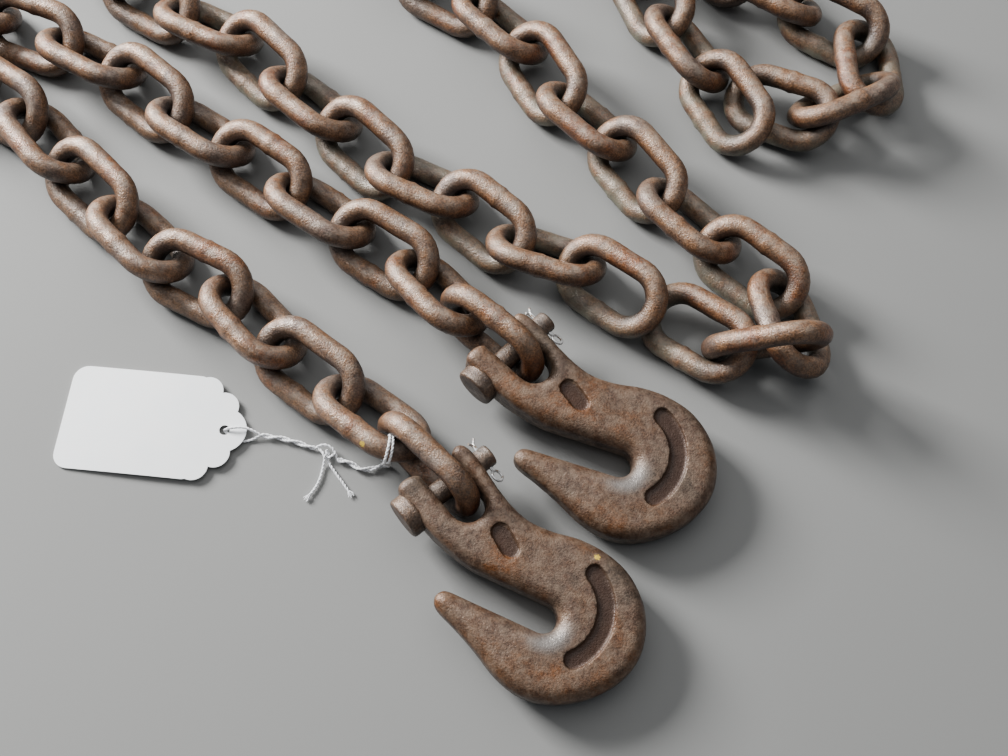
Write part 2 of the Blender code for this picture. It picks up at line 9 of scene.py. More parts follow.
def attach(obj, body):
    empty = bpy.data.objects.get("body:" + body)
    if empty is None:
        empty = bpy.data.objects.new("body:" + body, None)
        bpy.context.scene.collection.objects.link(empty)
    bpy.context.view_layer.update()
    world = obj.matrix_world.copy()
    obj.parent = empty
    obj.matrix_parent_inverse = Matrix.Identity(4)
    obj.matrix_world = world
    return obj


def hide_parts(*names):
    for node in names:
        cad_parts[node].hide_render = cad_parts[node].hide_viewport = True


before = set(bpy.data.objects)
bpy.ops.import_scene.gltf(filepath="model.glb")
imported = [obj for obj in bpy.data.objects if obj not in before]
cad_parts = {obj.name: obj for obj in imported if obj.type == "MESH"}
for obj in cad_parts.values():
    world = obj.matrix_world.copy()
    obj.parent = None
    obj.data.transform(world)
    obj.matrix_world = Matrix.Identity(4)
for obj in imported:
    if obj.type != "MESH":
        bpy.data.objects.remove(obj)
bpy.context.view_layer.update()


# Camera. The photograph looks steeply down on the near folds and the two hooks. HEAP is the spot on
# the floor below the camera, and the string, the tag and the far links are laid out from there too.
HEAP = Vector((0.0965, -0.3245, 0.0002))
CAMERA_HEIGHT = 0.4836
CAMERA_LOOKS_DOWN = 67.56
CAMERA_ROLL = 1.6
FOCAL_LENGTH_IN_PIXELS = 1193
PHOTO_WIDTH_IN_PIXELS = 1008
SENSOR_WIDTH = 36

bpy.ops.object.camera_add(location=HEAP + Vector((0, 0, CAMERA_HEIGHT)))
camera = bpy.context.object
camera.rotation_mode = "ZYX"
camera.rotation_euler = (math.radians(90 - CAMERA_LOOKS_DOWN), 0, math.radians(CAMERA_ROLL))
camera.data.sensor_width = SENSOR_WIDTH
camera.data.lens = SENSOR_WIDTH * FOCAL_LENGTH_IN_PIXELS / PHOTO_WIDTH_IN_PIXELS
bpy.context.scene.camera = camera


# Tag string. Soft white cotton of two plies twisted together. It is looped through the tag's hole and
# wound nearly twice round the last link's wire beside its crown. Between the two its strands lie
# twisted, with a small knot and two frayed ends.
STRING_DIAMETER = 0.0012
STRING_GAP = 0.0003
PLY_TWIST = 0.0034
PLY_OFFSET = 0.21 * STRING_DIAMETER
PLY_RADIUS = 0.31 * STRING_DIAMETER
STRAND_TWIST = 0.0150
STRAND_OFFSET = 0.00062
STRAND_HEIGHT = 0.0014
STRAND_SPACING = 0.0010
KNOT_RADIUS = 0.0014
KNOT_FLATNESS = 0.8
KNOT_TURNS = 1.4
KNOT_STEPS = 14
CROWN_TURNS = (-49, -59)
WIRE_TURN = -25
WRAP_SWEEP = 645
WRAP_STEPS = 26
ROUTE_SPACING = 0.0004
STRAND_STEP = 3
SOFTENING_ROUNDS = 8
ASKEW = Vector((0.3, 0.2, 1))
FRAYED_FIBRES = 11
FIBRE_RADIUS = 0.00017
FIBRE_LENGTH = 0.0026
FIBRE_UNEVENNESS = 0.0004
FIBRE_RISE = 0.0003
FIBRE_SPREAD = 5
FIBRE_OVERLAP = 0.0006
FIBRE_AIM = 6
UP = Vector((0, 0, 1))
LINK_INSIDE_LENGTH = 0.0360
LINK_INSIDE_WIDTH = 0.0164
WIRE_DIAMETER = 0.010
HALF_WIDTH = (LINK_INSIDE_WIDTH + WIRE_DIAMETER) / 2
CROWN_CENTRE = LINK_INSIDE_LENGTH / 2 + WIRE_DIAMETER / 2 - HALF_WIDTH

first_end = [(-0.0802, 0.1438, 0.0008), (-0.0781, 0.1470, 0.0008), (-0.0764, 0.1515, 0.0008),
             (-0.0755, 0.1570, 0.0010), (-0.0752, 0.1606, 0.0024)]
tag_strands = [(-0.0784, 0.1638), (-0.0824, 0.1650), (-0.0863, 0.1663), (-0.0907, 0.1675),
               (-0.0951, 0.1685), (-0.0994, 0.1690), (-0.1030, 0.1693)]
round_tag = [(-0.1068, 0.1710, 0.0030), (-0.1110, 0.1720, 0.0038), (-0.1160, 0.1716, 0.0038),
             (-0.1183, 0.1712, 0.0030), (-0.1189, 0.1710, 0.0018), (-0.1183, 0.1703, 0.0009),
             (-0.1145, 0.1682, 0.0008), (-0.1106, 0.1668, 0.0008), (-0.1068, 0.1676, 0.0008)]
knot_bow = [(-0.0778, 0.1652, 0.0024), (-0.0749, 0.1655, 0.0028), (-0.0716, 0.1636, 0.0024)]
link_strands = [(-0.0690, 0.1594), (-0.0648, 0.1585), (-0.0621, 0.1570), (-0.0594, 0.1554),
                (-0.0551, 0.1558), (-0.0509, 0.1574), (-0.0478, 0.1579)]
up_to_link = [(-0.0469, 0.1558, 0.0100)]
down_from_link = [(-0.0486, 0.1548, 0.0120)]
knot_ends = [(-0.0702, 0.1600, 0.0018), (-0.0750, 0.1623, 0.0018)]
second_end = [(-0.0738, 0.1590, 0.0010), (-0.0720, 0.1562, 0.0008), (-0.0686, 0.1518, 0.0008),
              (-0.0658, 0.1483, 0.0008), (-0.0641, 0.1461, 0.0008)]


def lie_of(node, heading):
    """Where a link of the frame lies: its pose, with X along the link and roughly this way, and Z up."""
    corners = numpy.array([vertex.co[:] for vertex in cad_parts[node].data.vertices])
    corners = numpy.unique(corners.round(7), axis=0)
    middle = corners.mean(axis=0)
    axes = numpy.linalg.svd(corners - middle, full_matrices=False)[2]
    along = Vector(axes[0])
    square = Vector(axes[2])
    turn = math.radians(heading)
    if along.x * math.cos(turn) + along.y * math.sin(turn) < 0:
        along = -along
    if square.z < 0:
        square = -square
    pose = Matrix((along, square.cross(along), square)).transposed().to_4x4()
    return Matrix.Translation(middle) @ pose


def smooth_through(points, steps=1, spacing=None):
    """Points of a smooth curve through the given ones, so many to a stretch or about so far apart."""
    spots = [Vector(point) for point in points]
    spots = [2 * spots[0] - spots[1], *spots, 2 * spots[-1] - spots[-2]]
    result = []
    for before, start, end, after in zip(spots, spots[1:], spots[2:], spots[3:]):
        count = steps if spacing is None else max(1, round((end - start).length / spacing))
        for step in range(count):
            t = step / count
            pull = end - before
            bend = 2 * before - 5 * start + 4 * end - after
            twist = 3 * start - before - 3 * end + after
            result.append(start + 0.5 * (pull * t + bend * t**2 + twist * t**3))
    result.append(spots[-2])
    return result


def deselect_all():
    """Leaves edit mode and deselects every object."""
    if bpy.context.object and bpy.context.object.mode != "OBJECT":
        bpy.ops.object.mode_set(mode="OBJECT")
    bpy.ops.object.select_all(action="DESELECT")


def select_only(piece):
    """Selects this object alone and makes it the active one."""
    deselect_all()
    piece.select_set(True)
    bpy.context.view_layer.objects.active = piece


def keep_place_in_mesh(piece):
    """Moves a finished piece's place into its mesh, so that the object itself sits at the origin."""
    piece.data.transform(piece.matrix_world)
    piece.matrix_world = Matrix.Identity(4)
    piece.data.update()


def sweep(name, routes, radius, sides=6):
    """Round tubes along the routes, as one mesh with closed ends, made from curves with a bevel."""
    curve = bpy.data.curves.new(name, "CURVE")
    curve.dimensions = "3D"
    curve.bevel_depth = radius
    curve.bevel_resolution = max(0, sides // 2 - 2)
    curve.use_fill_caps = True
    for route in routes:
        spline = curve.splines.new("POLY")
        spline.points.add(len(route) - 1)
        for spot, point in zip(spline.points, route):
            spot.co = (*point, 1.0)
    piece = bpy.data.objects.new(name, curve)
    bpy.context.collection.objects.link(piece)
    select_only(piece)
    bpy.ops.object.convert(target="MESH")
    piece = bpy.context.object
    bpy.ops.object.shade_smooth()
    return piece


def new_material(name):
    """An empty node material: its node tree, its shader and a function that adds a node."""
    material = bpy.data.materials.new(name)
    material.use_nodes = True
    tree = material.node_tree
    shader = tree.nodes["Principled BSDF"]

    def add(kind, values=None, **settings):
        node = tree.nodes.new(kind)
        for key, value in settings.items():
            setattr(node, key, value)
        for key, value in (values or {}).items():
            if isinstance(value, bpy.types.NodeSocket):
                tree.links.new(value, node.inputs[key])
            else:
                node.inputs[key].default_value = value
        return node

    return material, tree, shader, add


def srgb(red, green, blue):
    """A colour as a colour picker shows it, 0 to 255, in the shader's own linear scale."""
    shares = [value / 255 for value in (red, green, blue)]
    return (*[c / 12.92 if c <= 0.04045 else ((c + 0.055) / 1.055) ** 2.4 for c in shares], 1.0)


def ramp(add, factor, stops):
    """A colour ramp through (position, colour) stops."""
    node = add("ShaderNodeValToRGB", {"Fac": factor})
    bar = node.color_ramp
    while len(bar.elements) < len(stops):
        bar.elements.new(0.5)
    for element, (position, colour) in zip(bar.elements, stops):
        element.position = position
        element.color = colour
    return node.outputs["Color"]


def mix(add, factor, first, second, blend_type="MIX"):
    """Two colours mixed, or the second laid over the first in another way, such as multiplied."""
    node = add("ShaderNodeMix", data_type="RGBA", blend_type=blend_type)
    tree = node.id_data
    for socket, value in ((node.inputs[0], factor), (node.inputs[6], first), (node.inputs[7], second)):
        if isinstance(value, bpy.types.NodeSocket):
            tree.links.new(value, socket)
        else:
            socket.default_value = value
    return node.outputs[2]


def noise(add, place, scale, detail=4.0, roughness=0.55):
    """Noise of about this many waves a metre."""
    values = {"Vector": place, "Scale": scale, "Detail": detail, "Roughness": roughness}
    return add("ShaderNodeTexNoise", values).outputs["Fac"]


def set_bump(add, shader, height, strength, distance):
    """Fine relief of this height on the shader."""
    bump = add("ShaderNodeBump", {"Height": height, "Strength": strength, "Distance": distance})
    shader.id_data.links.new(bump.outputs["Normal"], shader.inputs["Normal"])


def cotton():
    """White cotton with fine fibres."""
    material, tree, shader, add = new_material("white_cotton_string")
    place = add("ShaderNodeTexCoord").outputs["Object"]
    fibres = noise(add, place, 2600, 3)
    colour = ramp(add, fibres, [(0.3, srgb(226, 228, 232)), (0.6, srgb(250, 250, 250))])
    tree.links.new(colour, shader.inputs["Base Color"])
    shader.inputs["Roughness"].default_value = 0.85
    shader.inputs["Sheen Weight"].default_value = 0.3
    set_bump(add, shader, fibres, 0.35, 0.0002)
    return material


WHITE_COTTON = cotton()


# nearly two turns round the last link's wire, moving along its crown, all in degrees
last_link = lie_of("link_a8", -37)
wrap_radius = WIRE_DIAMETER / 2 + STRING_DIAMETER / 2 + STRING_GAP
wrap = []
for step in range(WRAP_STEPS + 1):
    crown_turn = math.radians(CROWN_TURNS[0] + (CROWN_TURNS[1] - CROWN_TURNS[0]) * step / WRAP_STEPS)
    wire_turn = math.radians(WIRE_TURN + WRAP_SWEEP * step / WRAP_STEPS)
    outward = Vector((math.cos(crown_turn), math.sin(crown_turn), 0))
    wire = Vector((CROWN_CENTRE, 0, 0)) + HALF_WIDTH * outward
    offset = outward * math.cos(wire_turn) + UP * math.sin(wire_turn)
    wrap.append(last_link @ (wire + wrap_radius * offset))


def twisted_pair(middle):
    """Two strands on the floor that lie twisted round each other along this line."""
    line = smooth_through([(*point, STRAND_HEIGHT) for point in middle], spacing=STRAND_SPACING)
    strands = ([], [])
    gone = 0
    for before, point, after in zip([line[0], *line], line, [*line[1:], line[-1]]):
        gone += (point - before).length
        aside = (after - before).cross(UP).normalized()
        turn = math.tau * gone / STRAND_TWIST
        offset = STRAND_OFFSET * (aside * math.cos(turn) + UP * math.sin(turn))
        strands[0].append(point + offset)
        strands[1].append(point - offset)
    return strands


# the second end's turns round the bow, which make the knot
begin, finish = (Vector(point) for point in knot_ends)
aside = (finish - begin).normalized().cross(UP)
knot = []
for step in range(KNOT_STEPS + 1):
    turn = math.tau * KNOT_TURNS * step / KNOT_STEPS
    offset = aside * math.sin(turn) - UP * (KNOT_FLATNESS * math.cos(turn))
    knot.append(begin.lerp(finish, step / KNOT_STEPS) + KNOT_RADIUS * offset)

# the whole way of the string, from one frayed end to the other
to_tag, from_tag = twisted_pair(tag_strands)
to_link, from_link = twisted_pair(link_strands)
way_out = [first_end, to_tag[::STRAND_STEP], round_tag, from_tag[::-STRAND_STEP], knot_bow,
           to_link[::STRAND_STEP], up_to_link]
way_back = [down_from_link, from_link[::-STRAND_STEP], knot, second_end]
route = [HEAP + Vector(point) for part in way_out for point in part] + wrap
route += [HEAP + Vector(point) for part in way_back for point in part]
route = smooth_through(route, spacing=ROUTE_SPACING)
for softening in range(SOFTENING_ROUNDS):
    inner = [(before + 2 * point + after) / 4 for before, point, after in zip(route, route[1:], route[2:])]
    route = [route[0], *inner, route[-1]]

# two plies twisted along it
plies = ([], [])
gone = 0
for place, point in enumerate(route):
    ahead = (route[min(place + 1, len(route) - 1)] - route[max(place - 1, 0)]).normalized()
    gone += (point - route[max(place - 1, 0)]).length
    side = ahead.cross(ASKEW).normalized()
    turn = math.tau * gone / PLY_TWIST
    beside = side * math.cos(turn) + ahead.cross(side) * math.sin(turn)
    for ply, sign in zip(plies, (1, -1)):
        ply.append(point + sign * PLY_OFFSET * beside)
string = sweep("tag_string", plies, PLY_RADIUS)
string.data.materials.append(WHITE_COTTON)

fibres = []
for end, before in ((route[0], route[FIBRE_AIM]), (route[-1], route[-1 - FIBRE_AIM])):
    ahead = (end - before).normalized()
    side = ahead.cross(UP).normalized()
    start = end - FIBRE_OVERLAP * ahead
    for number in range(FRAYED_FIBRES):
        spread = math.radians(FIBRE_SPREAD * (number - FRAYED_FIBRES // 2))
        way = ahead * math.cos(spread) + side * math.sin(spread)
        length = FIBRE_LENGTH + FIBRE_UNEVENNESS * (number * 5 % 4)
        rise = FIBRE_RISE * (number % 3) * UP
        fibres.append([start, start + way * length * 0.5 + rise, start + way * length])
frayed = sweep("tag_string_frayed_ends", fibres, FIBRE_RADIUS, 4)
frayed.data.materials.append(WHITE_COTTON)

for piece in (string, frayed):
    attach(piece, "root")
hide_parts("string")


# Tag. Stiff white card, die-cut with scalloped shoulders and a punched hole near its tip. It lies
# on the floor with the holed end propped up on its own string.
TAG_LENGTH = 0.0800
TAG_WIDTH = 0.0470
TAG_THICKNESS = 0.0005
TAG_HOLE_DIAMETER = 0.0045
TAG_HOLE_FROM_TIP = 0.0094
TAG_HOLE_AT = (-0.1189, 0.1711, 0.0014)
TAG_HEADING = -4.5
TAG_BACK_ROUNDING = 0.0065
TAG_SHOULDER_ROUNDING = 0.0038
TAG_SCALLOPS = [(-0.0006, 0.0, 0.0100), (-0.0024, 0.0104, 0.0066), (-0.0104, 0.0170, 0.0065)]
TAG_NECK_WIDTH = 0.0330
TAG_NECK_OVERLAP = 0.0010
TAG_CUTS_ALONG = 13
TAG_CUT_SPACING = (0.0056, 0.0067)
TAG_ARCH = 0.0011
NEAR = 0.0001


def boolean(piece, tool, operation):
    """Cuts the tool out of the piece or joins it on, and removes the tool."""
    modifier = piece.modifiers.new("boolean", "BOOLEAN")
    modifier.operation = operation
    modifier.object = tool
    bpy.context.view_layer.objects.active = piece
    bpy.ops.object.modifier_apply(modifier=modifier.name)
    bpy.data.objects.remove(tool)


def start_selection(kind):
    """Deselects a mesh's faces and edges, so that faces or edges can be selected in object mode."""
    bpy.ops.object.mode_set(mode="EDIT")
    bpy.ops.mesh.select_mode(type=kind)
    bpy.ops.mesh.select_all(action="DESELECT")
    bpy.ops.object.mode_set(mode="OBJECT")


deselect_all()
back = TAG_HOLE_FROM_TIP - TAG_LENGTH
shoulder = TAG_SCALLOPS[2][0]
bpy.ops.mesh.primitive_cube_add(size=1, location=((back + shoulder) / 2, 0, TAG_THICKNESS / 2),
                                scale=(shoulder - back, TAG_WIDTH, TAG_THICKNESS))
tag = bpy.context.object
tag.name = "card_tag"
bpy.ops.object.transform_apply(location=True, rotation=False, scale=True)
for x, radius in ((back, TAG_BACK_ROUNDING), (shoulder, TAG_SHOULDER_ROUNDING)):
    start_selection("EDGE")
    for edge in tag.data.edges:
        start, end = [tag.data.vertices[index].co for index in edge.vertices]
        edge.select = abs(start.z - end.z) > NEAR and abs(start.x - x) < NEAR
    bpy.ops.object.mode_set(mode="EDIT")
    bpy.ops.mesh.bevel(offset=radius, segments=7, affect="EDGES")
    bpy.ops.object.mode_set(mode="OBJECT")
for ahead, aside, radius in TAG_SCALLOPS:
    for sign in ((1, -1) if aside else (1,)):
        bpy.ops.mesh.primitive_cylinder_add(vertices=48, radius=radius, depth=TAG_THICKNESS,
                                            location=(ahead, sign * aside, TAG_THICKNESS / 2))
        boolean(tag, bpy.context.object, "UNION")
bpy.ops.mesh.primitive_cube_add(size=1, location=(shoulder / 2, 0, TAG_THICKNESS / 2),
                                scale=(TAG_NECK_OVERLAP - shoulder, TAG_NECK_WIDTH, TAG_THICKNESS))
boolean(tag, bpy.context.object, "UNION")
bpy.ops.mesh.primitive_cylinder_add(vertices=32, radius=TAG_HOLE_DIAMETER / 2, depth=0.01)
boolean(tag, bpy.context.object, "DIFFERENCE")
select_only(tag)
bpy.ops.object.mode_set(mode="EDIT")
cuts = [((back + TAG_CUT_SPACING[0] * step, 0, 0), (1, 0, 0)) for step in range(1, TAG_CUTS_ALONG + 1)]
cuts += [((0, TAG_CUT_SPACING[1] * step, 0), (0, 1, 0)) for step in range(-3, 4)]
for spot, facing in cuts:
    bpy.ops.mesh.select_all(action="SELECT")
    bpy.ops.mesh.bisect(plane_co=spot, plane_no=facing)
bpy.ops.object.mode_set(mode="OBJECT")

# a low arch along the card, less at its sides
for vertex in tag.data.vertices:
    share = (vertex.co.x - back) / TAG_LENGTH
    vertex.co.z += TAG_ARCH * math.sin(math.pi * share) * (1 - (vertex.co.y / TAG_WIDTH) ** 2 * 1.5)
tag_lift = math.asin(TAG_HOLE_AT[2] / (TAG_LENGTH - TAG_HOLE_FROM_TIP))
turn = Matrix.Rotation(math.radians(TAG_HEADING), 4, "Z") @ Matrix.Rotation(-tag_lift, 4, "Y")
tag.matrix_world = Matrix.Translation(HEAP + Vector(TAG_HOLE_AT)) @ turn
keep_place_in_mesh(tag)
bpy.ops.object.shade_smooth_by_angle(angle=math.radians(30))

material, tree, shader, add = new_material("white_card")
place = add("ShaderNodeTexCoord").outputs["Object"]
cloud = noise(add, place, 60, 5)
colour = ramp(add, cloud, [(0.3, srgb(246, 249, 250)), (0.7, srgb(252, 253, 252))])
tree.links.new(colour, shader.inputs["Base Color"])
shader.inputs["Roughness"].default_value = 0.6
set_bump(add, shader, noise(add, place, 1800, 4), 0.12, 0.0001)
tag.data.materials.append(material)
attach(tag, "root")
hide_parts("tag")


# Near links. Each is a piece of 10 mm steel rod, bent to a long ring and butt-welded in the middle
# of one side, rusted all over. The links of one run hook into each other and are not fixed.
WIRE_SIDES = 24
CROWN_STEPS = 16
BAR_STEPS = 5
WELD_REACH = 1.5 * CROWN_CENTRE / BAR_STEPS
WELD_SWELL = 1.09
WELD_EDGE_SWELL = 1.02

deselect_all()
bpy.ops.mesh.primitive_circle_add(vertices=WIRE_SIDES, radius=WIRE_DIAMETER / 2, fill_type="NOTHING",
                                  location=(0, -HALF_WIDTH, 0), rotation=(0, math.radians(90), 0))
link_model = bpy.context.object
link_model.name = "link_model"
bpy.ops.object.transform_apply(location=True, rotation=True, scale=True)
bpy.ops.object.mode_set(mode="EDIT")
bpy.ops.mesh.select_all(action="SELECT")
for step in range(BAR_STEPS):
    bpy.ops.mesh.extrude_region_move(TRANSFORM_OT_translate={"value": (CROWN_CENTRE / BAR_STEPS, 0, 0)})
bpy.ops.mesh.spin(steps=CROWN_STEPS, angle=-math.pi, center=(CROWN_CENTRE, 0, 0), axis=(0, 0, 1))
for step in range(BAR_STEPS):
    bpy.ops.mesh.extrude_region_move(TRANSFORM_OT_translate={"value": (-CROWN_CENTRE / BAR_STEPS, 0, 0)})
bpy.ops.object.mode_set(mode="OBJECT")
modifier = link_model.modifiers.new("other_half", "MIRROR")
modifier.merge_threshold = NEAR
bpy.ops.object.modifier_apply(modifier=modifier.name)
bpy.ops.object.mode_set(mode="EDIT")
bpy.ops.mesh.select_all(action="SELECT")
bpy.ops.mesh.remove_doubles(threshold=0.00001)
bpy.ops.mesh.normals_make_consistent(inside=False)
bpy.ops.object.mode_set(mode="OBJECT")
bpy.ops.object.shade_smooth()

# the weld's swelling, and painted shade on the inside of the crowns, where the next links lie
inner = link_model.data.attributes.new("inner", "FLOAT", "POINT")
for vertex in link_model.data.vertices:
    x, y, z = vertex.co
    if y < 0 and abs(x) < WELD_REACH:
        swell = WELD_SWELL if abs(x) < NEAR else WELD_EDGE_SWELL
        vertex.co.y = -HALF_WIDTH + (y + HALF_WIDTH) * swell
        vertex.co.z = z * swell
    from_middle = math.hypot(max(abs(x) - CROWN_CENTRE, 0), y)
    in_crown = min(1, max(abs(x) - CROWN_CENTRE * 0.5, 0) / CROWN_CENTRE)
    inner.data[vertex.index].value = max(0, (HALF_WIDTH - from_middle) / WIRE_DIAMETER * 2) * in_crown

BLACK = (0, 0, 0, 1)
WHITE = (1, 1, 1, 1)
# painted shade: a surface is darker the more it faces down, from straight down to straight up
PAINTED_UNDERSIDE_SHADE = [(0.15, (0.14, 0.10, 0.08, 1)), (0.50, (0.38, 0.31, 0.26, 1)), (0.78, WHITE)]
PAINT_YELLOW = srgb(226, 190, 70)
DAB_RADIUS = 0.0013
LINK_DAB = (0.0399, -0.1667, 0.0276)
HOOK_DAB = (0.1355, -0.2087, 0.0201)
DUST_TOP = 0.017
DUST_FULL = 0.004


def attribute(add, name):
    """A number that the mesh stores at each vertex."""
    return add("ShaderNodeAttribute", attribute_name=name).outputs["Fac"]


def calculate(add, operation, *values):
    """The result of a sum on numbers or other nodes' results."""
    return add("ShaderNodeMath", dict(enumerate(values)), operation=operation).outputs[0]


def map_range(add, value, start, end, first, last):
    """The value carried over from one range of numbers to another, and kept inside it."""
    node = add("ShaderNodeMapRange", {"Value": value, "From Min": start, "From Max": end,
                                      "To Min": first, "To Max": last})
    return node.outputs["Result"]


def shaded(add, colour, factor, *stops):
    """The colour multiplied by a ramp of shades."""
    return mix(add, 1.0, colour, ramp(add, factor, stops), "MULTIPLY")


def paint_dab(add, place, colour, middle):
    """The colour with a tiny ragged dab of yellow paint round that point."""
    away = add("ShaderNodeVectorMath", {0: place, 1: middle}, operation="DISTANCE").outputs["Value"]
    ragged = calculate(add, "MULTIPLY_ADD", noise(add, place, 1600, 2), 1.6 * DAB_RADIUS, away)
    dab = map_range(add, ragged, 1.8 * DAB_RADIUS, 1.5 * DAB_RADIUS, 0.0, 1.0)
    return mix(add, dab, colour, PAINT_YELLOW)


def rust(name, tan, brown, mauve, dark, pale, dust, dusty, shine):
    """Rusted steel: tan, brown and mauve patches, painted shade below and where links meet, tops paler with
    worn film and painted highlight, dust low down.
    """
    material, tree, shader, add = new_material(name)
    place = add("ShaderNodeTexCoord").outputs["Object"]
    patches = noise(add, place, 42, 5, 0.55)
    colour = ramp(add, patches, [(0.38, brown), (0.46, tan), (0.54, tan), (0.62, mauve)])
    blotches = noise(add, place, 210, 5, 0.6)
    colour = shaded(add, colour, blotches,
                    (0.34, (0.60, 0.56, 0.53, 1)), (0.50, WHITE), (0.68, (1.35, 1.36, 1.38, 1)))
    grains = noise(add, place, 1300, 3, 0.6)
    colour = shaded(add, colour, grains,
                    (0.36, (0.46, 0.40, 0.36, 1)), (0.50, WHITE), (0.62, (1.50, 1.48, 1.45, 1)))
    upward = attribute(add, "upward")
    # painted shade on the faces that look down
    colour = shaded(add, colour, upward, *PAINTED_UNDERSIDE_SHADE)
    # pale patches on the upward tops: partly a worn film, partly a painted highlight
    worn_and_highlit_top = ramp(add, upward, [(0.70, BLACK), (0.98, WHITE)])
    film_and_highlight_patches = ramp(add, noise(add, place, 220, 6, 0.7), [(0.42, BLACK), (0.64, (0.6, 0.6, 0.6, 1))])
    colour = mix(add, calculate(add, "MULTIPLY", worn_and_highlit_top, film_and_highlight_patches), colour, pale)
    # painted shade inside the crowns and where other links come near
    inside = calculate(add, "MAXIMUM", attribute(add, "inner"), attribute(add, "meeting"))
    colour = mix(add, inside, colour, dark)
    height = add("ShaderNodeSeparateXYZ", {"Vector": place}).outputs["Z"]
    low = map_range(add, height, DUST_TOP, DUST_FULL, 0.0, dusty)
    film = ramp(add, noise(add, place, 120, 5), [(0.35, BLACK), (0.62, WHITE)])
    colour = mix(add, calculate(add, "MULTIPLY", low, film), colour, dust)
    colour = paint_dab(add, place, colour, LINK_DAB)
    tree.links.new(colour, shader.inputs["Base Color"])
    tree.links.new(map_range(add, blotches, 0.35, 0.7, shine + 0.24, shine), shader.inputs["Roughness"])
    shader.inputs["Metallic"].default_value = 0.25
    shader.inputs["Specular IOR Level"].default_value = 1.0
    set_bump(add, shader, calculate(add, "ADD", blotches, grains), 0.7, 0.0005)
    return material


RUST = rust("rusted_link", tan=srgb(118, 85, 58), brown=srgb(112, 70, 39), mauve=srgb(98, 77, 64),
            dark=srgb(22, 11, 5), pale=srgb(160, 144, 128), dust=srgb(92, 80, 62), dusty=0.35, shine=0.30)
DUSTY_RUST = rust("dusty_rusted_link", tan=srgb(120, 86, 58), brown=srgb(113, 70, 39),
                  mauve=srgb(101, 79, 65), dark=srgb(22, 11, 5), pale=srgb(162, 145, 128),
                  dust=srgb(116, 114, 98), dusty=1.0, shine=0.30)
FORGE_UNEVENNESS = bpy.data.textures.new("forge_unevenness", "CLOUDS")
FORGE_UNEVENNESS.noise_scale = 0.012
FORGE_UNEVENNESS.noise_depth = 2
UNEVENNESS = 0.0007
LOWEST = 0.00005
MEETING_REACH = 0.0040
BAR_POINTS = (-0.0065, 0, 0.0065)


def centreline(pose):
    """Points along the middle line of the wire of a link that lies there."""
    flat = [(x, side * HALF_WIDTH, 0) for side in (1, -1) for x in BAR_POINTS]
    for end in (1, -1):
        for degrees in range(-90, 91, 15):
            turn = math.radians(degrees)
            x = end * (CROWN_CENTRE + HALF_WIDTH * math.cos(turn))
            flat.append((x, HALF_WIDTH * math.sin(turn), 0))
    return numpy.array([pose @ Vector(point) for point in flat])


def mark_upward(piece):
    """Stores how much each vertex faces up, from 0 for straight down to 1 for straight up."""
    upward = piece.data.attributes.new("upward", "FLOAT", "POINT")
    for vertex in piece.data.vertices:
        upward.data[vertex.index].value = (vertex.normal.z + 1) / 2


def copy_of(model, name):
    """A copy of a model with its own mesh."""
    piece = model.copy()
    piece.data = model.data.copy()
    piece.name = name
    bpy.context.collection.objects.link(piece)
    return piece


def lay_link(name, model, pose, material, beside):
    """A copy of the model link, laid there, a little uneven, and marked for painted shade where it nears
    these points.
    """
    link = copy_of(model, name)
    link.matrix_world = pose
    keep_place_in_mesh(link)
    link.data.materials.append(material)
    select_only(link)
    modifier = link.modifiers.new("unevenness", "DISPLACE")
    modifier.texture = FORGE_UNEVENNESS
    modifier.texture_coords = "LOCAL"
    modifier.strength = UNEVENNESS
    modifier.mid_level = 0.52
    bpy.ops.object.modifier_apply(modifier=modifier.name)
    for vertex in link.data.vertices:
        vertex.co.z = max(vertex.co.z, LOWEST)
    mark_upward(link)
    meeting = link.data.attributes.new("meeting", "FLOAT", "POINT")
    for vertex in link.data.vertices:
        gap = numpy.linalg.norm(beside - vertex.co, axis=1).min() - WIRE_DIAMETER / 2
        meeting.data[vertex.index].value = min(1, max(0, 1 - gap / MEETING_REACH))
    return link


NEIGHBOUR_REACH = 0.06
# the links that have their weld on the other bar
WELD_TURNED = {"link_a2", "link_a5", "link_b1", "link_b4", "link_b5", "link_c3", "link_c6", "link_c12",
               "link_c15", "link_e1", "link_e4", "end_link_b"}
near_links = sorted(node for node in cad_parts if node.startswith(("link_", "end_link_")))
near_poses = {node: lie_of(node, -40) for node in near_links}
for node, pose in near_poses.items():
    others = [other for more, other in near_poses.items() if more != node]
    beside = numpy.vstack([centreline(other) for other in others
                           if (other.translation - pose.translation).length < NEIGHBOUR_REACH])
    if node in WELD_TURNED:
        pose = pose @ Matrix.Rotation(math.pi, 4, "X")
    dusty = node.startswith(("link_c", "link_e"))
    link = lay_link(f"steel_{node}", link_model, pose, DUSTY_RUST if dusty else RUST, beside)
    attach(link, "root")
    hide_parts(node)


# Far links. The same chain where it turns back and goes round behind, out of the photograph. It is
# laid in three runs along guides on the floor, and each stretch of up to six links is one piece.
FAR_ROLL = 38
STRETCH_LINKS = 6
CONTACT_GAP = 0.0003
TURN_SLACK = 0.0054
FUSE_DEPTH = 0.0016
STRETCH_END_PLAY = 0.0008
STRETCH_BREAK_PLAY = 0.0002
EASING_ROUNDS = 1500
SMOOTHING_ROUNDS = 30
FITTING_ROUNDS = 3

